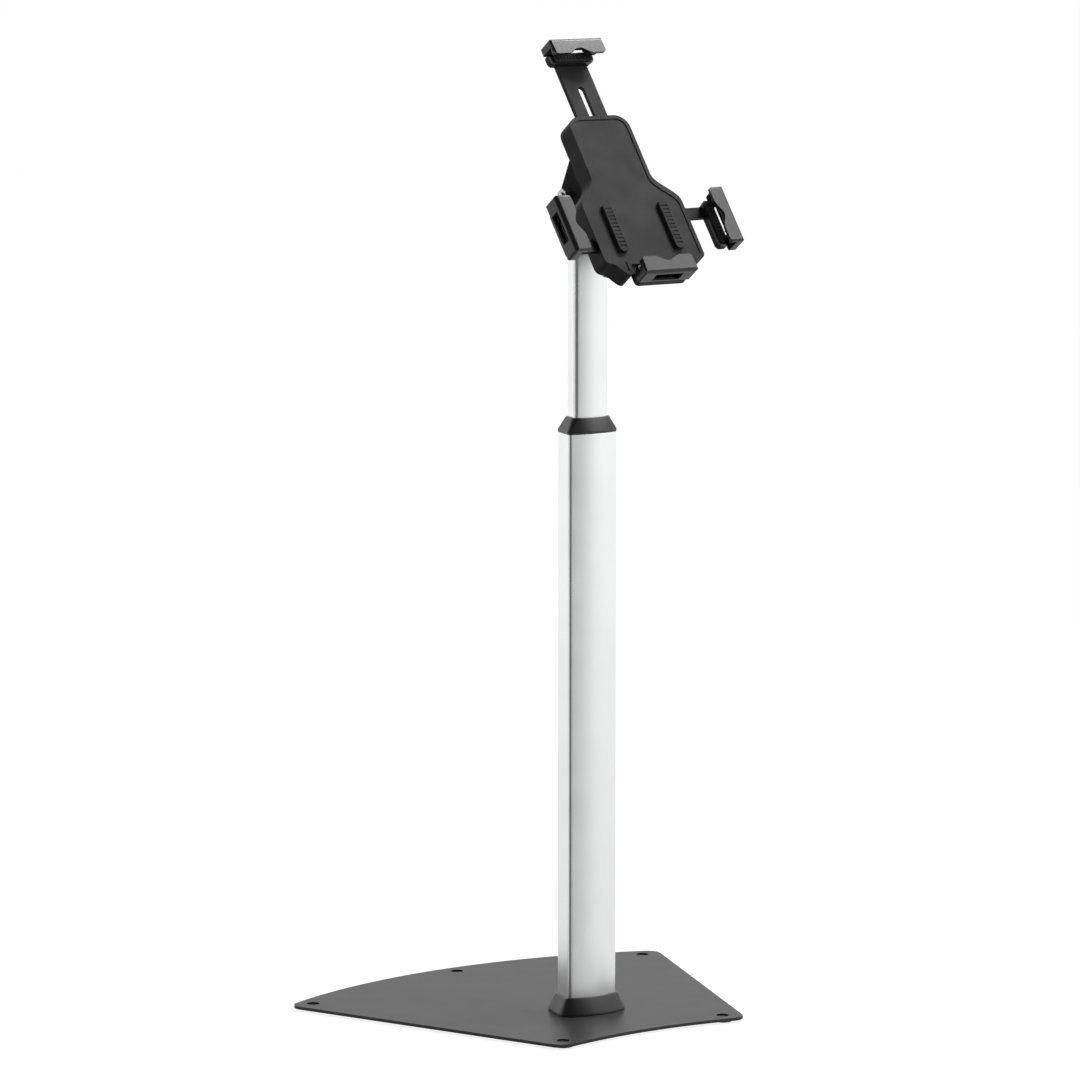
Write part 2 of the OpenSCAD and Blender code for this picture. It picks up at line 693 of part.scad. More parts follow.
module height_lock_screw() color(STEEL) at_column() at_lock_screw() difference() {
    rod(lock_screw_r, inner_back_y + slide_gap + shoe_t, outer_back_y + lock_screw_proud);
    translate([0, 0, outer_back_y + lock_screw_proud]) socket(lock_screw_r);
}
module clamp_shoe() color(RUBBER) at_column() at_lock_screw()
    rod(shoe_r, inner_back_y + slide_gap, inner_back_y + slide_gap + shoe_t);

module inner_tube() color(SILVER) at_column() difference() {
    slab(inner_bottom, inner_top) polygon(inner_outline(0));
    slab(inner_bottom - past, inner_top + past) polygon(inner_outline(cavity));
    at_yoke_screws() countersink(yoke_head_r, yoke_screw_r, yoke_screw_len);
}
module lower_glide() color(BLACK) at_column() {
    slab(inner_bottom - glide_h, inner_bottom) polygon(outer_outline(cavity - slide_gap));
    slab(inner_bottom - past, inner_bottom + glide_plug_h) polygon(inner_outline(cavity - face_gap));
}
module at_yoke_screws() translate([0, 0, yoke_screw_z])
    at_sides(inner_w, inner_edge_y, inner_edge_d, inner_corner_r) children();
module tilt_yoke() color(BLACK) at_column() difference() {
    union() {
        slab(inner_top - yoke_plug_h, inner_top + past) polygon(inner_outline(cavity - face_gap));
        slab(inner_top, inner_top + yoke_cap_h) polygon(inner_outline(-face_gap));
        side_view(2 * knuckle_x) polygon(yoke_side());
    }
    translate([0, 0, pivot_z]) along_x() rod(bolt_r + turn_gap, -knuckle_x - past, knuckle_x + past);
    at_yoke_screws() countersink(yoke_head_r, yoke_screw_r, yoke_screw_len);
}
module yoke_screws() color(STEEL) at_column() at_yoke_screws()
    countersunk(yoke_head_r, yoke_screw_r, yoke_screw_len);

module tilt_bracket() color(BLACK) at_head() difference() {
    intersection() {
        section(2 * bracket_y) polygon(bracket_section());
        side_view(2 * (ear_x + bracket_t)) polygon(bracket_side());
    }
    rod(bolt_r + turn_gap, bracket_back_w - past, bracket_w + past);
    translate([0, 0, -setback]) along_x() rod(bolt_r + press_gap, -2 * ear_x, 2 * ear_x);
}
module tilt_bolt() color(STEEL) at_pivot() along_x() difference() {
    union() {
        rod(bolt_r, -ear_x - bracket_t - nut_h - bolt_tail, ear_x + bracket_t + sink);
        rod(bolt_head_r, ear_x + bracket_t, ear_x + bracket_t + bolt_head_h);
    }
    translate([0, 0, ear_x + bracket_t + bolt_head_h]) socket(bolt_r);
}
module friction_washers() color(BLACK) at_pivot() both_sides() along_x() difference() {
    rod(knuckle_r - washer_inset, knuckle_x + face_gap, ear_x);
    rod(bolt_r + turn_gap, knuckle_x, ear_x + past);
}
module tilt_nut() color(STEEL) at_pivot() along_x() difference() {
    translate([0, 0, -ear_x - bracket_t - nut_h]) cylinder(r = bolt_head_r, h = nut_h, $fn = 6);
    rod(bolt_r + press_gap, -2 * ear_x, 0);
}

module swivel_bolt() color(STEEL) at_head() {
    rod(bolt_r, bracket_back_w - spring_t - nut_h - bolt_tail, floor_w + sink);
    translate([0, 0, floor_w]) cylinder(r = bolt_head_r, h = bolt_head_h, $fn = 6);
}
module swivel_washer() color(RUBBER) at_head() difference() {
    rod(disc_r - disc_washer_inset, disc_w - washer_t, disc_w);
    rod(bolt_r + press_gap, disc_w - washer_t - past, disc_w + past);
}
// Two dished washers set rim to rim between the bracket and the nut
module spring_washers() color(STEEL) at_head() translate([0, 0, bracket_back_w - spring_t / 2])
    for (s = [0, 1]) mirror([0, 0, s]) difference() {
        translate([0, 0, press_gap])
            cylinder(r1 = spring_r, r2 = spring_crown_r, h = spring_t / 2 - face_gap);
        rod(bolt_r + press_gap, -past, spring_t);
    }
module swivel_nut() color(STEEL) at_head() translate([0, 0, bracket_back_w - spring_t - nut_h]) difference() {
    cylinder(r = bolt_head_r, h = nut_h, $fn = 6);
    rod(bolt_r + press_gap, -past, nut_h + past);
}

// Room for the four bars where they pass the body's walls
module bar_ways() {
    bar_x = top_bar_x + slide_gap;
    box(-bar_x, 0, shelf_w, bar_x, body_top + past, split_w + past);
    box(-bar_x, notch_v - past, shelf_w, bar_x, notch_v + body_wall + past, split_w + past);
    at_racks() box(-body_x - past, -rack_x - slide_gap, shelf_w,
        -body_x + body_wall + past, rack_tip - pitch_r + slide_gap, split_w + past);
}
// Places of the two racks: below the pinion towards the left, and above it towards the right
module at_racks() for (s = [0, 1]) translate([0, pinion_v, 0]) rotate(180 * s) children();
// Walls that guide the bars, and shelves that they lie on
module body_rails() {
    inside_w = back_w + sink;
    bar_x = top_bar_x + slide_gap;
    both_sides() box(bar_x, shoulder_v, inside_w, bar_x + rail_t, body_top - sink, split_w);
    for (v = [shoulder_v, stop_v - rest_len / 2, notch_v + sink])
        box(-bar_x, v, inside_w, bar_x, v + rest_len, shelf_w);
    at_racks() {
        rail_v = -rack_x - slide_gap;
        box(flange_r - lock_x, rail_v - rail_t, inside_w, rack_rail_x, rail_v, split_w);
        for (x = [sink - body_x, -rack_rest_x])
            box(x, -rack_x, inside_w, x + rail_t, rack_tip - pitch_r, shelf_w);
    }
    translate([0, pinion_v, 0]) rod(pinion_hub_r, inside_w, pin_boss_w);
    for (c = cover_screws_at) translate(c) rod(cover_boss_r, inside_w, split_w);
}
module rear_housing() color(BLACK) at_head() difference() {
    union() {
        difference() {
            slab(back_w, split_w) polygon(body_outline(0));
            slab(floor_w, split_w + past) polygon(body_outline(body_wall));
            bar_ways();
        }
        body_rails();
        rod(disc_r, disc_w, back_w + sink);
    }
    rod(bolt_r + press_gap, disc_w - past, split_w);
    translate([0, pinion_v, 0]) rod(pin_r + press_gap, floor_w - pin_sink, split_w);
    translate([0, stop_v, 0]) rod(stop_r + press_gap, floor_w, split_w);
    translate(lock_at) rod(barrel_r + face_gap, back_w - past, split_w);
    at_cover_screws() pan_hole(cover_head_r, cover_head_h, cover_screw_r + face_gap, body_d);
    at_arm_screws() pan_hole(cover_head_r, cover_head_h, cover_screw_r + face_gap, body_d);
}
module at_cover_screws() for (c = cover_screws_at) translate([c[0], c[1], back_w + cover_head_h]) children();
module at_arm_screws() both_sides() translate([arm_screw_x, arm_screw_v, back_w + cover_head_h]) children();
module front_plate() color(BLACK) at_head() difference() {
    slab(split_w, front_w) polygon(body_outline(0));
    slab(front_w - rim_d, front_w + past) polygon(body_outline(rim_w));
    for (c = cover_screws_at) translate(c)
        rod(cover_screw_r + press_gap, split_w - past, front_w - rim_d - blind_t);
}
module cover_screws() color(STEEL) at_head() at_cover_screws()
    pan_screw(cover_head_r, cover_head_h, cover_screw_r, body_d - cover_head_h - rim_d - blind_t - tip_gap);
module seat_pads() color(RUBBER) at_head() both_sides() translate([seat_pad_x, pinion_v, 0])
    slab(front_w - rim_d, 0) polygon(round_rect(-seat_pad_size[0] / 2, -seat_pad_size[1] / 2,
        seat_pad_size[0] / 2, seat_pad_size[1] / 2, seat_pad_r));

// Jaw moulding: its plan cut from its section, with ribs, a hollow from the back, a window and a leg
module jaw() difference() {
    union() {
        intersection() {
            slab(-jaw_depth, lip_front) polygon(jaw_plan());
            section(2 * lip_reach) polygon(round_rect(-jaw_len / 2, -jaw_depth,
                jaw_len / 2, lip_front, jaw_end_r));
            union() {
                side_view(jaw_len + 2 * past) polygon(jaw_section());
                jaw_ribs();
            }
        }
        slab(-jaw_depth, leg_w) polygon(round_rect(-leg_x, -leg_reach,
            leg_x, inner_wall_p + leg_corner_r + sink, leg_corner_r));
    }
    both_sides() box(-past, inner_wall_p + jaw_inner_t, -jaw_depth - past,
        jaw_len / 2 - jaw_wall_t, jaw_out - jaw_wall_t, lip_w);
    box(-window_len / 2, inner_wall_p - past, window_w, window_len / 2, jaw_out + past, device_t);
    at_jaw_screws() rod(jaw_screw_r + press_gap, -jaw_depth - past, leg_w - blind_t);
}
module jaw_ribs() for (i = [0:rib_count - 1])
    translate([(i - (rib_count - 1) / 2) * rib_pitch, (rib_p0 + rib_p1) / 2, 0]) section(rib_p1 - rib_p0)
        polygon([[-rib_t / 2, lip_w + sink], [-rib_tip / 2, rib_w],
            [rib_tip / 2, rib_w], [rib_t / 2, lip_w + sink]]);
module at_jaw_screws() both_sides() translate([jaw_screw_x, jaw_screw_p, 0]) children();
module jaw_pad() slab(leg_w, 0) polygon(round_rect(pad_side - leg_x, pad_edge - leg_reach,
    leg_x - pad_side, inner_wall_p - pad_gap, leg_corner_r - pad_edge));
module jaw_screws() at_jaw_screws() translate([0, 0, head_back_w + jaw_screw_head_h])
    pan_screw(jaw_screw_head_r, jaw_screw_head_h, jaw_screw_r,
        head_d - jaw_screw_head_h + leg_t - blind_t - tip_gap);
// Block behind a jaw that carries it, with its half width and its outer edge
module arm_head(x, p1) difference() {
    slab(head_back_w, -jaw_depth) polygon(round_rect(-x, head_p0, x, p1, head_corner_r));
    at_jaw_screws() translate([0, 0, head_back_w + jaw_screw_head_h])
        pan_hole(jaw_screw_head_r, jaw_screw_head_h, jaw_screw_r + press_gap, head_d);
}

// Side arm: head, bar and a row of rack teeth that face the pinion
module side_arm() {
    arm_head(head_x, head_p1);
    box(-rack_x, rack_p0, bar_w0, -pitch_r - tooth_root, head_p0 + past, bar_w1);
    slab(bar_w0, bar_w1) for (i = [rack_first:rack_last])
        translate([-pitch_r, (i + 0.5) * tooth_pitch - jaw_x]) polygon(rack_tooth());
}
module left_arm() color(BLACK) at_left() side_arm();
module right_arm() color(BLACK) at_right() side_arm();
module top_arm() color(BLACK) at_top() difference() {
    union() {
        arm_head(head_x, head_p1);
        slab(bar_w0, bar_w1) polygon(round_rect(-top_bar_x, low_v + top_bar_v,
            top_bar_x, head_p0 + bar_end_r, bar_end_r));
    }
    slab(bar_w0 - past, bar_w1 + past) translate([0, low_v + stop_v]) polygon(slot(slot_x, -top_out, top_in));
}
module bottom_arm() color(BLACK) at_bottom() difference() {
    union() {
        arm_head(ledge_x, ledge_p1);
        box(-top_bar_x, low_v - bottom_bar_v, bar_w0, top_bar_x, head_p0 + past, bar_w1);
    }
    both_sides() translate([arm_screw_x, low_v - arm_screw_v, 0])
        rod(cover_screw_r + press_gap, bar_w0 - past, bar_w1 - blind_t);
}
module arm_screws() color(STEEL) at_head() at_arm_screws()
    pan_screw(cover_head_r, cover_head_h, cover_screw_r, bar_w1 - blind_t - tip_gap - back_w - cover_head_h);

module top_jaw() color(GREY) at_top() jaw();
module bottom_jaw() color(GREY) at_bottom() jaw();
module left_jaw() color(GREY) at_left() jaw();
module right_jaw() color(GREY) at_right() jaw();
module top_jaw_pad() color(RUBBER) at_top() jaw_pad();
module bottom_jaw_pad() color(RUBBER) at_bottom() jaw_pad();
module left_jaw_pad() color(RUBBER) at_left() jaw_pad();
module right_jaw_pad() color(RUBBER) at_right() jaw_pad();
module top_jaw_screws() color(STEEL) at_top() jaw_screws();
module bottom_jaw_screws() color(STEEL) at_bottom() jaw_screws();
module left_jaw_screws() color(STEEL) at_left() jaw_screws();
module right_jaw_screws() color(STEEL) at_right() jaw_screws();

module pinion_pin() color(STEEL) at_head() translate([0, pinion_v, 0]) rod(pin_r, floor_w - pin_sink, bar_w1);
module drive_pinion() color(SILVER) at_head() translate([0, pinion_v, 0]) difference() {
    union() {
        slab(bar_w0, bar_w1) union() {
            circle(r = pitch_r - tooth_root);
            for (i = [0:tooth_count - 1]) rotate(90 + i * 360 / tooth_count) polygon(tooth_points());
        }
        rod(pinion_hub_r, bar_w0 - pinion_hub_h, bar_w0 + sink);
    }
    rod(pin_r + turn_gap, bar_w0 - pinion_hub_h - past, bar_w1 + past);
}
module stop_screw() color(STEEL) at_head() translate([0, stop_v, 0]) rod(stop_r, floor_w, bar_w1);

module lock_barrel() color(STEEL) at_head() translate(lock_at) difference() {
    union() {
        rod(barrel_r, back_w - sink, barrel_w);
        rod(flange_r, back_w - flange_h, back_w);
    }
    rod(plug_r + turn_gap, back_w - flange_h - past, barrel_w + past);
}
module lock_plug() color(STEEL) at_head() translate(lock_at) difference() {
    rod(plug_r, back_w - flange_h, barrel_w + slide_gap);
    translate([0, 0, back_w - flange_h]) cube([key_slot[0], key_slot[1], 2 * key_slot[2]], center = true);
}
module lock_cam() color(STEEL) at_head() translate(lock_at) translate([-cam_throw, 0, 0])
    rod(cam_r, barrel_w + slide_gap, bar_w1);

base_plate();
foot_pads();
foot_screws();
column_plug();
column_bolts();
column_set_screws();
foot_cover();
outer_tube();
guide_bush();
collar();
height_lock_screw();
clamp_shoe();
inner_tube();
lower_glide();
tilt_yoke();
yoke_screws();
tilt_bracket();
tilt_bolt();
friction_washers();
tilt_nut();
rear_housing();
front_plate();
cover_screws();
seat_pads();
swivel_bolt();
swivel_washer();
spring_washers();
swivel_nut();
bottom_arm();
bottom_jaw();
bottom_jaw_pad();
bottom_jaw_screws();
arm_screws();
pinion_pin();
drive_pinion();
stop_screw();
lock_barrel();
lock_plug();
lock_cam();
top_arm();
top_jaw();
top_jaw_pad();
top_jaw_screws();
left_arm();
left_jaw();
left_jaw_pad();
left_jaw_screws();
right_arm();
right_jaw();
right_jaw_pad();
right_jaw_screws();
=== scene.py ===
import json
import math

import bpy
from mathutils import Matrix, Vector


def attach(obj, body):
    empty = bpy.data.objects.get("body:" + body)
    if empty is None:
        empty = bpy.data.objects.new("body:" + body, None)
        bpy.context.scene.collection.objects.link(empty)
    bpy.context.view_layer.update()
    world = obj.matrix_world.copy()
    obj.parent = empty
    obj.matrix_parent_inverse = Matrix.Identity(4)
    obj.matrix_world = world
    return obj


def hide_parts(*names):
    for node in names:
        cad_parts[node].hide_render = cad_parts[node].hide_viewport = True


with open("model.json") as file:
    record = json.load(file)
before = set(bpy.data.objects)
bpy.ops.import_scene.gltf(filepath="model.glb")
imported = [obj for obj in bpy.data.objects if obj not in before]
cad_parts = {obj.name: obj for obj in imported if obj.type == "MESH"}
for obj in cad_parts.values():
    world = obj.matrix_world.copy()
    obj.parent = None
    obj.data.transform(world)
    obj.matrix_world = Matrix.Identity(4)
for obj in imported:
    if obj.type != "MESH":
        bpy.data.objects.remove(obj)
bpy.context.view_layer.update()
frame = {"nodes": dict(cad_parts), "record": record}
scene = bpy.context.scene
MM = 0.001
body_of = {node: body for body, nodes in frame["record"]["behaviour"]["bodies"].items() for node in nodes}
slot_of = {part["node"]: part["material_slot"] for part in frame["record"]["subparts"]}


# Shader nodes

def add(tree, kind, inputs=None, **settings):
    """A node with its settings, its inputs given as values or as sockets to link."""
    node = tree.nodes.new(kind)
    for name, value in settings.items():
        setattr(node, name, value)
    for socket, value in (inputs or {}).items():
        if isinstance(value, bpy.types.NodeSocket):
            tree.links.new(value, node.inputs[socket])
        else:
            node.inputs[socket].default_value = value
    return node


def calc(tree, operation, *values):
    return add(tree, "ShaderNodeMath", dict(enumerate(values)), operation=operation).outputs[0]


def effect(name, inputs, output):
    """An empty node group with number inputs and one number output."""
    tree = bpy.data.node_groups.new(name, "ShaderNodeTree")
    for label, value in inputs.items():
        tree.interface.new_socket(label, in_out="INPUT", socket_type="NodeSocketFloat").default_value = value
    tree.interface.new_socket(output, in_out="OUTPUT", socket_type="NodeSocketFloat")
    return tree, add(tree, "NodeGroupInput").outputs, add(tree, "NodeGroupOutput").inputs


def use(tree, group, **values):
    """A shared effect placed in a tree with its own values."""
    return add(tree, "ShaderNodeGroup", values, node_tree=group).outputs[0]


# Effects that the finishes share

def moulded_grain():
    """Fine spark-eroded texture of a mould, or the orange peel of a coating."""
    tree, given, out = effect("moulded_grain", {"Scale": 1500, "Pits": 0.4}, "Height")
    place = add(tree, "ShaderNodeTexCoord").outputs["Object"]
    hills = add(tree, "ShaderNodeTexNoise", {"Vector": place, "Scale": given["Scale"], "Detail": 3.0})
    pit_scale = calc(tree, "MULTIPLY", given["Scale"], 0.6)
    pits = add(tree, "ShaderNodeTexVoronoi", {"Vector": place, "Scale": pit_scale}, feature="SMOOTH_F1")
    deep = calc(tree, "MULTIPLY", pits.outputs["Distance"], given["Pits"])
    tree.links.new(calc(tree, "SUBTRACT", hills.outputs["Fac"], deep), out["Height"])
    return tree


def cloudiness():
    """Slow change over a surface between a low and a high value."""
    tree, given, out = effect("cloudiness", {"Scale": 25, "Low": 0.4, "High": 0.5}, "Value")
    place = add(tree, "ShaderNodeTexCoord").outputs["Object"]
    cloud = add(tree, "ShaderNodeTexNoise", {"Vector": place, "Scale": given["Scale"], "Detail": 5.0})
    spread = add(tree, "ShaderNodeMapRange", {"Value": cloud.outputs["Fac"], "From Min": 0.3, "From Max": 0.7,
                                              "To Min": given["Low"], "To Max": given["High"]})
    tree.links.new(spread.outputs["Result"], out["Value"])
    return tree


def rubbed_glint_edges():
    """Mask of the rounded edges, broken up into patches: partly wear where hands and boxes rub, partly a painted
    highlight where rounded edges catch the light.
    """
    tree, given, out = effect("rubbed_glint_edges", {"Radius": 0.6 * MM, "Patches": 120}, "Mask")
    rounded = add(tree, "ShaderNodeBevel", {"Radius": given["Radius"]}, samples=6)
    facing = add(tree, "ShaderNodeNewGeometry").outputs["Normal"]
    turn = add(tree, "ShaderNodeVectorMath", {0: rounded.outputs["Normal"], 1: facing}, operation="DOT_PRODUCT")
    edge = add(tree, "ShaderNodeMapRange", {"Value": turn.outputs["Value"], "From Min": 0.985, "From Max": 0.86})
    place = add(tree, "ShaderNodeTexCoord").outputs["Object"]
    patch = add(tree, "ShaderNodeTexNoise", {"Vector": place, "Scale": given["Patches"], "Detail": 4.0})
    worn = add(tree, "ShaderNodeMapRange", {"Value": patch.outputs["Fac"], "From Min": 0.42, "From Max": 0.66})
    tree.links.new(calc(tree, "MULTIPLY", edge.outputs["Result"], worn.outputs["Result"]), out["Mask"])
    return tree


def drawn_lines():
    """Fine lines along an extruded profile."""
    tree, given, out = effect("drawn_lines", {"Across": 900, "Along": 4}, "Height")
    place = add(tree, "ShaderNodeTexCoord").outputs["Object"]
    stretch = add(tree, "ShaderNodeCombineXYZ", {0: given["Across"], 1: given["Across"], 2: given["Along"]})
    drawn = add(tree, "ShaderNodeVectorMath", {0: place, 1: stretch.outputs[0]}, operation="MULTIPLY")
    lines = add(tree, "ShaderNodeTexNoise", {"Vector": drawn.outputs[0], "Scale": 1.0, "Detail": 4.0})
    tree.links.new(lines.outputs["Fac"], out["Height"])
    return tree


GRAIN, CLOUD, RUB_GLINT, LINES = moulded_grain(), cloudiness(), rubbed_glint_edges(), drawn_lines()


# Finishes

finish_of = {}
# Painted shade: near-black colour painted into the plate's countersinks and the hollows behind the jaws' windows
PAINTED_SHADE_BLACK = (0.002, 0.002, 0.002)
BARE_METAL = (0.62, 0.62, 0.61)


def new_finish(name):
    material = finish_of[name] = bpy.data.materials.new(name)
    material.use_nodes = True
    tree = material.node_tree
    tree.nodes.clear()
    shader = add(tree, "ShaderNodeBsdfPrincipled")
    add(tree, "ShaderNodeOutputMaterial", {"Surface": shader.outputs[0]})
    return tree, shader


def blend(tree, mask, low, high):
    """Colour between two others by a mask."""
    mix = add(tree, "ShaderNodeMix", {"Factor": mask}, data_type="RGBA")
    for socket, shade in ((mix.inputs[6], low), (mix.inputs[7], high)):
        if isinstance(shade, bpy.types.NodeSocket):
            tree.links.new(shade, socket)
        else:
            socket.default_value = (*shade, 1)
    return mix.outputs[2]


def connect(tree, shader, colour, gloss, height, depth, strength):
    bump = add(tree, "ShaderNodeBump", {"Height": height, "Distance": depth, "Strength": strength})
    for socket, value in (("Base Color", colour), ("Roughness", gloss), ("Normal", bump.outputs[0])):
        tree.links.new(value, shader.inputs[socket])


def coat(name, dark, light, rubbed_glint, rough, grain, pits, depth, strength, specular=0.5):
    """Moulded, coated or rubber surface: clouded colour and gloss, grain, and edges painted lighter, partly as rubbing
    wear and partly as a painted highlight.
    Faces marked as hollows get painted shade: a near-black colour and full roughness. Faces marked as bare are metal."""
    tree, shader = new_finish(name)
    clouds = use(tree, CLOUD, Scale=18, Low=0.0, High=1.0)
    edges = use(tree, RUB_GLINT, Radius=0.6 * MM, Patches=140)
    # Painted shade: the marked hollows are painted near black and made fully rough
    painted_shade = add(tree, "ShaderNodeAttribute", attribute_name="painted_shade").outputs["Fac"]
    bare = add(tree, "ShaderNodeAttribute", attribute_name="bare").outputs["Fac"]
    colour = blend(tree, edges, blend(tree, clouds, dark, light), rubbed_glint)
    colour = blend(tree, painted_shade, colour, PAINTED_SHADE_BLACK)
    colour = blend(tree, bare, colour, BARE_METAL)
    gloss = calc(tree, "MAXIMUM", use(tree, CLOUD, Scale=42, Low=rough[0], High=rough[1]), painted_shade)
    tree.links.new(bare, shader.inputs["Metallic"])
    shader.inputs["Specular IOR Level"].default_value = specular
    connect(tree, shader, colour, gloss, use(tree, GRAIN, Scale=grain, Pits=pits), depth, strength)


def metal(name, dark, light, rough, across, along, depth, strength):
    """Bare metal with drawn lines and a slowly changing gloss."""
    tree, shader = new_finish(name)
    clouds = use(tree, CLOUD, Scale=12, Low=0.0, High=1.0)
    gloss = use(tree, CLOUD, Scale=30, Low=rough[0], High=rough[1])
    lines = use(tree, LINES, Across=across, Along=along)
    shader.inputs["Metallic"].default_value = 1.0
    connect(tree, shader, blend(tree, clouds, dark, light), gloss, lines, depth, strength)


# Each finish's lighter edge colour is partly wear and partly a painted highlight on the rounded edges
coat("coated_plate", dark=(0.037, 0.0375, 0.039), light=(0.039, 0.0395, 0.041), rubbed_glint=(0.13, 0.13, 0.135),
     rough=(0.34, 0.36), grain=900, pits=0.5, depth=0.05 * MM, strength=0.2, specular=0.115)
coat("black_steel", dark=(0.008, 0.008, 0.0085), light=(0.011, 0.011, 0.0115), rubbed_glint=(0.06, 0.06, 0.06),
     rough=(0.58, 0.68), grain=1800, pits=0.2, depth=0.03 * MM, strength=0.2, specular=0.08)
coat("rubber", dark=(0.013, 0.013, 0.013), light=(0.019, 0.019, 0.019), rubbed_glint=(0.05, 0.05, 0.05),
     rough=(0.72, 0.86), grain=2600, pits=0.6, depth=0.05 * MM, strength=0.35, specular=0.4)
coat("cast_aluminium", dark=(0.018, 0.018, 0.019), light=(0.026, 0.026, 0.027), rubbed_glint=(0.25, 0.25, 0.26),
     rough=(0.42, 0.56), grain=900, pits=0.8, depth=0.12 * MM, strength=0.35)
coat("gear_plastic", dark=(0.58, 0.57, 0.53), light=(0.64, 0.63, 0.59), rubbed_glint=(0.72, 0.71, 0.68),
     rough=(0.40, 0.50), grain=1400, pits=0.2, depth=0.03 * MM, strength=0.2)
coat("jaw_plastic", dark=(0.008, 0.008, 0.0085), light=(0.011, 0.011, 0.0115), rubbed_glint=(0.05, 0.05, 0.05),
     rough=(0.29, 0.34), grain=2200, pits=0.5, depth=0.04 * MM, strength=0.25, specular=0.5)
coat("black_plastic", dark=(0.010, 0.010, 0.011), light=(0.014, 0.014, 0.015), rubbed_glint=(0.04, 0.04, 0.04),
     rough=(0.32, 0.40), grain=2200, pits=0.5, depth=0.04 * MM, strength=0.25, specular=0.6)
# Painted shade: a darker, duller copy of black_plastic for the holder's body and arms, standing in for the tablet's
# shadow
coat("tablet_shaded_plastic", dark=(0.004, 0.004, 0.0045), light=(0.006, 0.006, 0.0065), rubbed_glint=(0.03, 0.03, 0.03),
     rough=(0.52, 0.62), grain=1500, pits=0.6, depth=0.06 * MM, strength=0.3, specular=0.22)
metal("satin_aluminium", dark=(0.90, 0.905, 0.91), light=(0.94, 0.945, 0.95),
      rough=(0.27, 0.34), across=1600, along=3.0, depth=0.01 * MM, strength=0.12)
metal("steel", dark=(0.50, 0.50, 0.49), light=(0.60, 0.60, 0.58),
      rough=(0.26, 0.40), across=900, along=300.0, depth=0.02 * MM, strength=0.2)

# The holder's body and arms have a duller, darker black than the other pieces of their slot: less gloss, and a darker
# colour painted as the shade of the tablet it holds
SHELL = ("rear_housing", "front_plate", "top_arm", "left_arm", "right_arm", "bottom_arm")


def dress(piece, node):
    finish = "tablet_shaded_plastic" if node in SHELL else slot_of[node]
    piece.data.materials.clear()
    piece.data.materials.append(finish_of[finish])


def stands_for(piece, node):
    """The piece takes a node's place, finish and motion."""
    dress(piece, node)
    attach(piece, body_of[node])
    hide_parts(node)


# Modelling

def only(piece):
    bpy.ops.object.select_all(action="DESELECT")
    piece.select_set(True)
    bpy.context.view_layer.objects.active = piece


def apply(piece, kind, **settings):
    """A modifier with its settings, applied."""
    only(piece)
    modifier = piece.modifiers.new(kind.lower(), kind)
    for name, value in settings.items():
        setattr(modifier, name, value)
    bpy.ops.object.modifier_apply(modifier=modifier.name)


def pick(piece, kind, chosen):
    """In edit mode, selects the faces or edges that a test on their middle and direction chooses."""
    bpy.ops.object.mode_set(mode="EDIT")
    bpy.ops.mesh.select_mode(type=kind)
    bpy.ops.mesh.select_all(action="DESELECT")
    bpy.ops.object.mode_set(mode="OBJECT")
    points = piece.data.vertices
    if kind == "FACE":
        for face in piece.data.polygons:
            face.select = chosen(face.center, face.normal)
    else:
        for line in piece.data.edges:
            a, b = (points[i].co for i in line.vertices)
            line.select = chosen((a + b) / 2, (b - a).normalized())
    bpy.ops.object.mode_set(mode="EDIT")


def mark(piece, name, chosen):
    """Marks the faces chosen by their middle, for the finish to show."""
    values = piece.data.attributes.new(name, "FLOAT", "FACE")
    values.data.foreach_set("value", [float(chosen(face.center)) for face in piece.data.polygons])


def block(name, size):
    """A block on its middle, left in edit mode to be shaped."""
    bpy.ops.object.select_all(action="DESELECT")
    bpy.ops.mesh.primitive_cube_add(size=1)
    piece = bpy.context.active_object
    piece.name = piece.data.name = name
    bpy.ops.object.mode_set(mode="EDIT")
    bpy.ops.transform.resize(value=size)
    return piece


def copy_of(piece, name):
    twin = bpy.data.objects.new(name, piece.data.copy())
    scene.collection.objects.link(twin)
    return twin


def join_faces(piece):
    """Joins the triangles that lie in one plane."""
    only(piece)
    bpy.ops.object.mode_set(mode="EDIT")
    bpy.ops.mesh.select_all(action="SELECT")
    bpy.ops.mesh.remove_doubles(threshold=0.002 * MM)
    bpy.ops.mesh.dissolve_limited(angle_limit=math.radians(0.5))
    bpy.ops.object.mode_set(mode="OBJECT")


def node_copy(node):
    piece = copy_of(frame["nodes"][node], node + "_soft")
    join_faces(piece)
    return piece


def soften(piece, edge):
    """Rounds a piece's sharp edges."""
    apply(piece, "BEVEL", width=edge, segments=3, limit_method="ANGLE", angle_limit=math.radians(30),
          use_clamp_overlap=True, loop_slide=True)
    bpy.ops.object.shade_smooth_by_angle(angle=math.radians(38))
    apply(piece, "WEIGHTED_NORMAL", weight=50, keep_sharp=True)


# Pieces with their edges rounded, by the radius

EDGES = {
    0.6 * MM: ("base_plate", "foot_cover"),
    0.4 * MM: ("collar", "rear_housing", "front_plate", "tilt_yoke", "tilt_bracket",
               "top_arm", "left_arm", "right_arm", "bottom_arm"),
    0.3 * MM: ("outer_tube", "inner_tube", "foot_pads",
               "tilt_bolt", "tilt_nut", "swivel_nut", "lock_barrel", "lock_plug"),
    0.15 * MM: ("foot_screws", "column_bolts", "column_set_screws", "height_lock_screw", "yoke_screws",
                "friction_washers", "cover_screws", "arm_screws", "swivel_bolt", "swivel_washer",
                "top_jaw_screws", "left_jaw_screws", "right_jaw_screws", "bottom_jaw_screws"),
}
shown = {}
for edge, nodes in EDGES.items():
    for node in nodes:
        shown[node] = node_copy(node)
        soften(shown[node], edge)
        stands_for(shown[node], node)

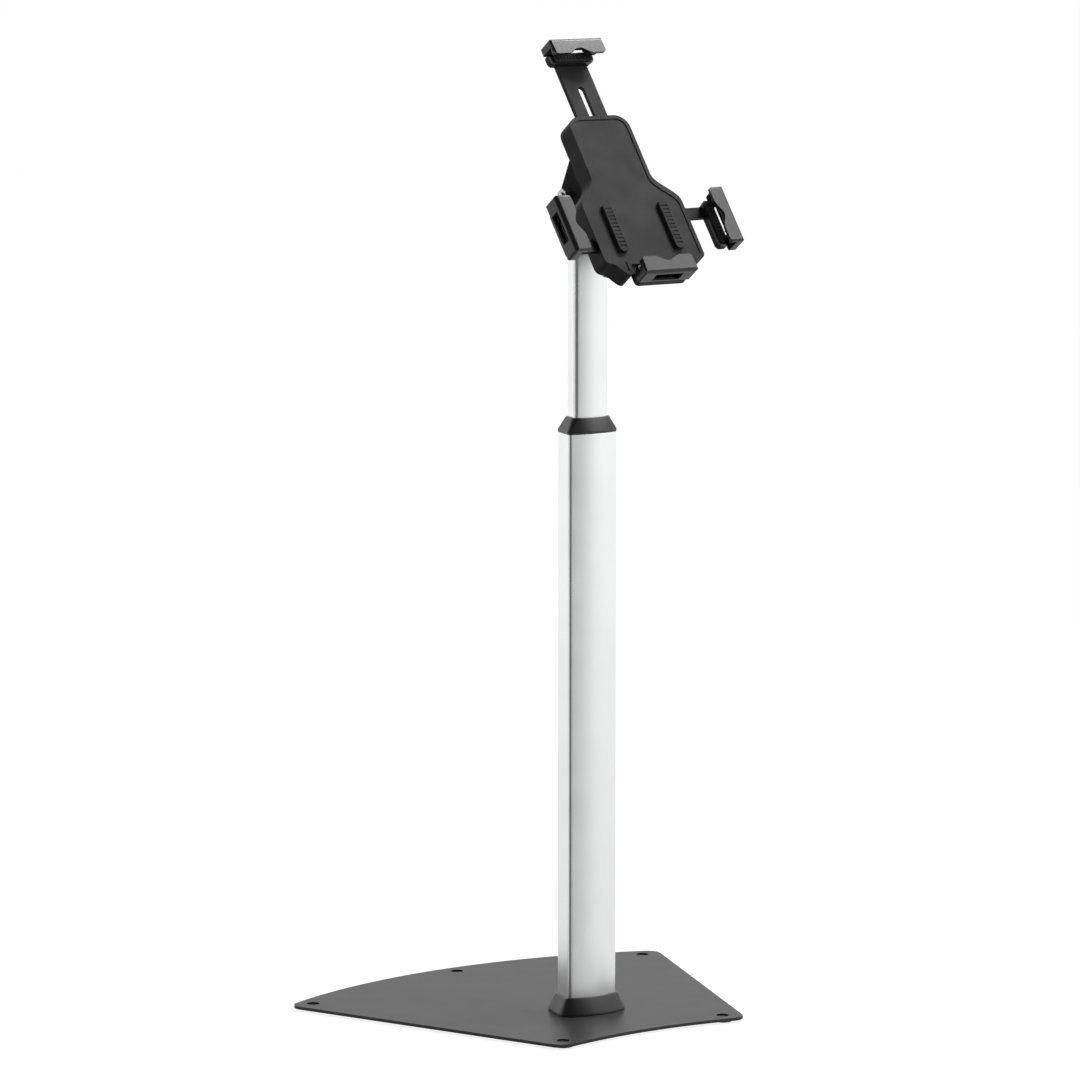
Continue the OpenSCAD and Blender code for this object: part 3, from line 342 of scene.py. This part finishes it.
# Countersinks in the plate and sockets in the screws below them, by height and distance from a foot's middle
FEET = [Vector(place) * MM for place in ((-93.095, -140.625), (93.095, -140.625), (195.63, 126.488),
                                         (0, 168.21), (-195.63, 126.488))]
SINK_TOP, SINK_RADIUS = 5.45 * MM, 6.15 * MM
SOCKET_TOP, SOCKET_INNER, SOCKET_OUTER = 4.2 * MM, 1.0 * MM, 2.6 * MM


def from_foot(point):
    return min((point.xy - foot).length for foot in FEET)


def in_countersink(point):
    return point.z < SINK_TOP and from_foot(point) < SINK_RADIUS


def in_socket(point):
    return point.z < SOCKET_TOP and SOCKET_INNER < from_foot(point) < SOCKET_OUTER


# The countersinks get painted shade: their faces are painted near black
mark(shown["base_plate"], "painted_shade", in_countersink)
mark(shown["foot_screws"], "bare", in_socket)


# Holder: its seat plane, tilted about the pivot, and each jaw's middle, lengthwise way and outward way

TILT = math.radians(36.7)
ACROSS = Vector((1, 0, 0))
UP = Vector((0, math.sin(TILT), math.cos(TILT)))
OUT = Vector((0, -math.cos(TILT), math.sin(TILT)))
PIVOT = Vector((0, -49.29, 782.2))
SETBACK = 58
SEAT = (PIVOT + SETBACK * OUT) * MM
HALF_HEIGHT, HALF_WIDTH, SIDE_DROP = 120 * MM, 87.25 * MM, 71 * MM
GRIPS = {
    "top": (SEAT + HALF_HEIGHT * UP, ACROSS, UP),
    "bottom": (SEAT - HALF_HEIGHT * UP, -ACROSS, -UP),
    "left": (SEAT - HALF_WIDTH * ACROSS - SIDE_DROP * UP, UP, -ACROSS),
    "right": (SEAT + HALF_WIDTH * ACROSS - SIDE_DROP * UP, -UP, ACROSS),
}


def settle(piece, middle, along, away):
    """Puts a mesh where it belongs, with its length along a way and its face to the front."""
    turn = Matrix((along, away, OUT)).transposed().to_4x4()
    piece.data.transform(Matrix.Translation(middle) @ turn)


# Jaws, each cut by a block a hair larger than itself with one kind of edge rounded, one block after another

JAW_BLOCK = (60.02 * MM, 18.21 * MM, 19.21 * MM)
JAW_BLOCK_SHIFT = (0, -0.095 * MM, 3.905 * MM)
JAW_EDGE = 0.3 * MM
JAW_ROUNDS = (
    # free corners of the lip
    (6.5 * MM, lambda middle, way: abs(way.z) > 0.9 and middle.y < 0),
    # front outer edge
    (4.0 * MM, lambda middle, way: abs(way.x) > 0.9 and middle.y > 0 and middle.z > 0),
    # front edges of the ends
    (2.6 * MM, lambda middle, way: abs(way.y) > 0.9 and middle.z > 0),
    # outer corners of the ends
    (2.6 * MM, lambda middle, way: abs(way.z) > 0.9 and middle.y > 0),
)
# Hollow behind a jaw's window, in millimetres: half its length, and its reach outward and to the front
HOLLOW_HALF, HOLLOW_AWAY, HOLLOW_OUT = 29, (0.3, 8.7), (-5.2, 10.6)


def jaw_envelope(radius, chosen):
    envelope = block("jaw_envelope", JAW_BLOCK)
    bpy.ops.transform.translate(value=JAW_BLOCK_SHIFT)
    pick(envelope, "EDGE", chosen)
    bpy.ops.mesh.bevel(offset=radius, offset_type="OFFSET", segments=8, affect="EDGES")
    bpy.ops.object.mode_set(mode="OBJECT")
    return envelope


def in_jaw_box(grip):
    """Test for a point in the hollow behind a jaw's window."""
    middle, along, away = GRIPS[grip]

    def inside(point):
        way = (point - middle) / MM
        return (abs(way.dot(along)) < HOLLOW_HALF
                and HOLLOW_AWAY[0] < way.dot(away) < HOLLOW_AWAY[1]
                and HOLLOW_OUT[0] < way.dot(OUT) < HOLLOW_OUT[1])
    return inside


for grip in GRIPS:
    jaw = shown[grip + "_jaw"] = node_copy(grip + "_jaw")
    for radius, chosen in JAW_ROUNDS:
        envelope = jaw_envelope(radius, chosen)
        settle(envelope, *GRIPS[grip])
        apply(jaw, "BOOLEAN", operation="INTERSECT", solver="EXACT", object=envelope)
        bpy.data.objects.remove(envelope)
    join_faces(jaw)
    soften(jaw, JAW_EDGE)
    # The hollow behind the window gets painted shade: its faces are painted near black, standing in for the tablet's
    # shadow
    mark(jaw, "painted_shade", in_jaw_box(grip))
    stands_for(jaw, grip + "_jaw")


# Rubber pads

def ridged_pad(name, size, corner, rim, grooves, pitch, width, depth):
    """A rubber pad on its middle, its face up: rounded corners, a rim, and grooves across its length."""
    pad = block(name, size)
    pick(pad, "EDGE", lambda middle, way: abs(way.z) > 0.9)
    bpy.ops.mesh.bevel(offset=corner, offset_type="OFFSET", segments=6, affect="EDGES")
    pick(pad, "FACE", lambda middle, way: way.z > 0.9)
    bpy.ops.mesh.inset(thickness=rim)
    centres = [(i - (grooves - 1) / 2) * pitch for i in range(grooves)]
    for centre in centres:
        for side in (-width / 2, width / 2):
            bpy.ops.mesh.select_all(action="SELECT")
            bpy.ops.mesh.bisect(plane_co=(centre + side, 0, 0), plane_no=(1, 0, 0))
    inner = size[1] / 2 - rim

    def in_groove(middle, way):
        across = min(abs(middle.x - centre) for centre in centres)
        return way.z > 0.9 and across < width / 2 and abs(middle.y) < inner

    pick(pad, "FACE", in_groove)
    bpy.ops.mesh.extrude_region_move(TRANSFORM_OT_translate={"value": (0, 0, -depth)})
    bpy.ops.mesh.select_all(action="SELECT")
    bpy.ops.mesh.normals_make_consistent(inside=False)
    bpy.ops.object.mode_set(mode="OBJECT")
    apply(pad, "BEVEL", width=0.15 * MM, segments=2, limit_method="ANGLE", angle_limit=math.radians(40))
    bpy.ops.object.shade_smooth_by_angle(angle=math.radians(35))
    return pad


# Jaw pads, one modelled and copied for each jaw, with the outer edge on the jaw's middle and the face on the seat plane
JAW_PAD_SIZE = (44 * MM, 8 * MM, 2.5 * MM)
jaw_pad = ridged_pad("ridged_jaw_pad", JAW_PAD_SIZE, corner=3 * MM, rim=1.1 * MM,
                     grooves=11, pitch=3.6 * MM, width=1.4 * MM, depth=0.6 * MM)
for grip, (middle, along, away) in GRIPS.items():
    pad = shown[grip + "_jaw_pad"] = copy_of(jaw_pad, grip + "_jaw_pad_ridged")
    settle(pad, middle - JAW_PAD_SIZE[1] / 2 * away - JAW_PAD_SIZE[2] / 2 * OUT, along, away)
    stands_for(pad, grip + "_jaw_pad")
bpy.data.objects.remove(jaw_pad)

# Pads in the holder's front, joined as the one node they stand for
SEAT_PAD_SIDE, SEAT_PAD_SIZE = 32 * MM, (52 * MM, 10 * MM, 3.8 * MM)
left_pad = ridged_pad("seat_pads_ridged", SEAT_PAD_SIZE, corner=4 * MM, rim=1.4 * MM,
                      grooves=11, pitch=4.0 * MM, width=1.6 * MM, depth=0.7 * MM)
right_pad = copy_of(left_pad, "seat_pad_right")
for pad, side in ((left_pad, -1), (right_pad, 1)):
    middle = SEAT + side * SEAT_PAD_SIDE * ACROSS - SIDE_DROP * UP - SEAT_PAD_SIZE[2] / 2 * OUT
    settle(pad, middle, UP, -ACROSS)
only(left_pad)
right_pad.select_set(True)
bpy.ops.object.join()
stands_for(left_pad, "seat_pads")
shown["seat_pads"] = left_pad

# The nodes inside stay as they are
for node, solid in frame["nodes"].items():
    if node not in shown:
        dress(solid, node)


# Studio

# Dark sectors for mirrored rays: bearing in degrees from +X, half angles from full dark to none, brightness in the dark
WORLD_DARK = {"Bearing": 222, "Inner": 68, "Outer": 84, "Dark": 0.03}
FLOOR_CORE = {"Bearing": 222, "Inner": 26, "Outer": 40, "Dark": 0.25}
FLOOR_SKIRT = {"Bearing": 244, "Inner": 12, "Outer": 58, "Dark": 0.74}
WORLD_LIGHT = 0.6
FLOOR_SIZE, FLOOR_GREY, FLOOR_GLOW, FLOOR_GLOW_SHARE = 40, (0.8, 0.8, 0.8, 1), 1.2, 0.72
POOL = {"From Min": 0.2, "From Max": 3.5, "To Min": 0.84, "To Max": 1.0}
WHITE = (1, 1, 1, 1)
CAMERA_PLACE, CAMERA_AIM = (-3.13566, -4.38673, 1.19672), (-0.03617, -0.02359, 0.45726)
CAMERA_LENS = 191.40


def dark_side():
    """How bright the studio is in a direction: white all round, with a dark sector about a bearing."""
    tree, given, out = effect("dark_side", WORLD_DARK, "Brightness")
    tree.interface.new_socket("Direction", in_out="INPUT", socket_type="NodeSocketVector")
    level = add(tree, "ShaderNodeVectorMath", {0: given["Direction"], 1: (1, 1, 0)}, operation="MULTIPLY")
    unit = add(tree, "ShaderNodeVectorMath", {0: level.outputs[0]}, operation="NORMALIZE")
    angles = {name: calc(tree, "RADIANS", given[name]) for name in ("Bearing", "Inner", "Outer")}
    cosine = {name: calc(tree, "COSINE", angle) for name, angle in angles.items()}
    sine = calc(tree, "SINE", angles["Bearing"])
    middle = add(tree, "ShaderNodeCombineXYZ", {0: cosine["Bearing"], 1: sine}).outputs[0]
    dot = add(tree, "ShaderNodeVectorMath", {0: unit.outputs[0], 1: middle}, operation="DOT_PRODUCT")
    ramp = add(tree, "ShaderNodeMapRange", {"Value": dot.outputs["Value"], "From Min": cosine["Outer"],
                                            "From Max": cosine["Inner"], "To Min": 1.0, "To Max": given["Dark"]},
               interpolation_type="SMOOTHSTEP")
    tree.links.new(ramp.outputs["Result"], out["Brightness"])
    return tree


DARK_SIDE = dark_side()


def rays(tree):
    """Whether a ray comes from the camera, and whether it was mirrored."""
    ray = add(tree, "ShaderNodeLightPath").outputs
    return ray["Is Camera Ray"], calc(tree, "ADD", ray["Is Glossy Ray"], ray["Is Transmission Ray"])


def studio_world():
    """White for the camera, plain light for the rest, and the dark sector for mirrored rays."""
    world = bpy.data.worlds.new("studio")
    scene.world = world
    world.use_nodes = True
    tree = world.node_tree
    tree.nodes.clear()
    camera, mirror = rays(tree)
    side = use(tree, DARK_SIDE, Direction=add(tree, "ShaderNodeTexCoord").outputs["Generated"], **WORLD_DARK)
    plain = add(tree, "ShaderNodeMix", {"Factor": mirror, 2: WORLD_LIGHT, 3: side}, data_type="FLOAT").outputs[0]
    seen = add(tree, "ShaderNodeMix", {"Factor": camera, 2: plain, 3: 1.0}, data_type="FLOAT").outputs[0]
    light = add(tree, "ShaderNodeBackground", {"Color": WHITE, "Strength": seen})
    add(tree, "ShaderNodeOutputWorld", {"Surface": light.outputs[0]})


def studio_floor():
    """Pale for the camera, with the shadow, and with dark sectors and a dimmer middle for mirrored rays."""
    bpy.ops.object.select_all(action="DESELECT")
    bpy.ops.mesh.primitive_plane_add(size=FLOOR_SIZE, location=(0, 0, 0))
    floor = bpy.context.active_object
    floor.name = "studio_floor"
    material = bpy.data.materials.new("pale_floor")
    material.use_nodes = True
    tree = material.node_tree
    tree.nodes.clear()
    camera, mirror = rays(tree)
    place = add(tree, "ShaderNodeTexCoord").outputs["Object"]
    core = use(tree, DARK_SIDE, Direction=place, **FLOOR_CORE)
    skirt = use(tree, DARK_SIDE, Direction=place, **FLOOR_SKIRT)
    far = add(tree, "ShaderNodeVectorMath", {0: place}, operation="LENGTH").outputs["Value"]
    pool = add(tree, "ShaderNodeMapRange", {"Value": far, **POOL}).outputs["Result"]
    level = calc(tree, "MULTIPLY", calc(tree, "MULTIPLY", core, skirt), pool)
    lit = add(tree, "ShaderNodeBsdfDiffuse", {"Color": FLOOR_GREY})
    glow = add(tree, "ShaderNodeEmission", {"Color": WHITE, "Strength": FLOOR_GLOW})
    white = add(tree, "ShaderNodeMixShader", {0: FLOOR_GLOW_SHARE, 1: lit.outputs[0], 2: glow.outputs[0]})
    mirrored = add(tree, "ShaderNodeEmission", {"Strength": level})
    seen = add(tree, "ShaderNodeMixShader", {0: camera, 1: lit.outputs[0], 2: white.outputs[0]})
    both = add(tree, "ShaderNodeMixShader", {0: mirror, 1: seen.outputs[0], 2: mirrored.outputs[0]})
    add(tree, "ShaderNodeOutputMaterial", {"Surface": both.outputs[0]})
    floor.data.materials.append(material)


def set_up(name, data, place, aim):
    """A lamp or camera at a place, turned to what it is aimed at."""
    thing = bpy.data.objects.new(name, data)
    thing.location = place
    thing.rotation_euler = (Vector(aim) - Vector(place)).to_track_quat("-Z", "Y").to_euler()
    scene.collection.objects.link(thing)
    return thing


def lamp(name, place, aim, size, power):
    data = bpy.data.lights.new(name, "AREA")
    data.shape = "SQUARE"
    data.size = size
    data.energy = power
    set_up(name, data, place, aim)


def photo_camera():
    data = bpy.data.cameras.new("camera")
    data.sensor_width = 36
    data.lens = CAMERA_LENS
    data.clip_end = 100
    scene.camera = set_up("camera", data, CAMERA_PLACE, CAMERA_AIM)


studio_world()
studio_floor()
lamp("key", place=(1.00, -0.12, 2.30), aim=(0, -0.1, 0.82), size=0.6, power=22)
lamp("fill", place=(0.90, -1.00, 1.43), aim=(0, -0.075, 0.57), size=0.95, power=10)
photo_camera()
scene.view_settings.view_transform = "Standard"
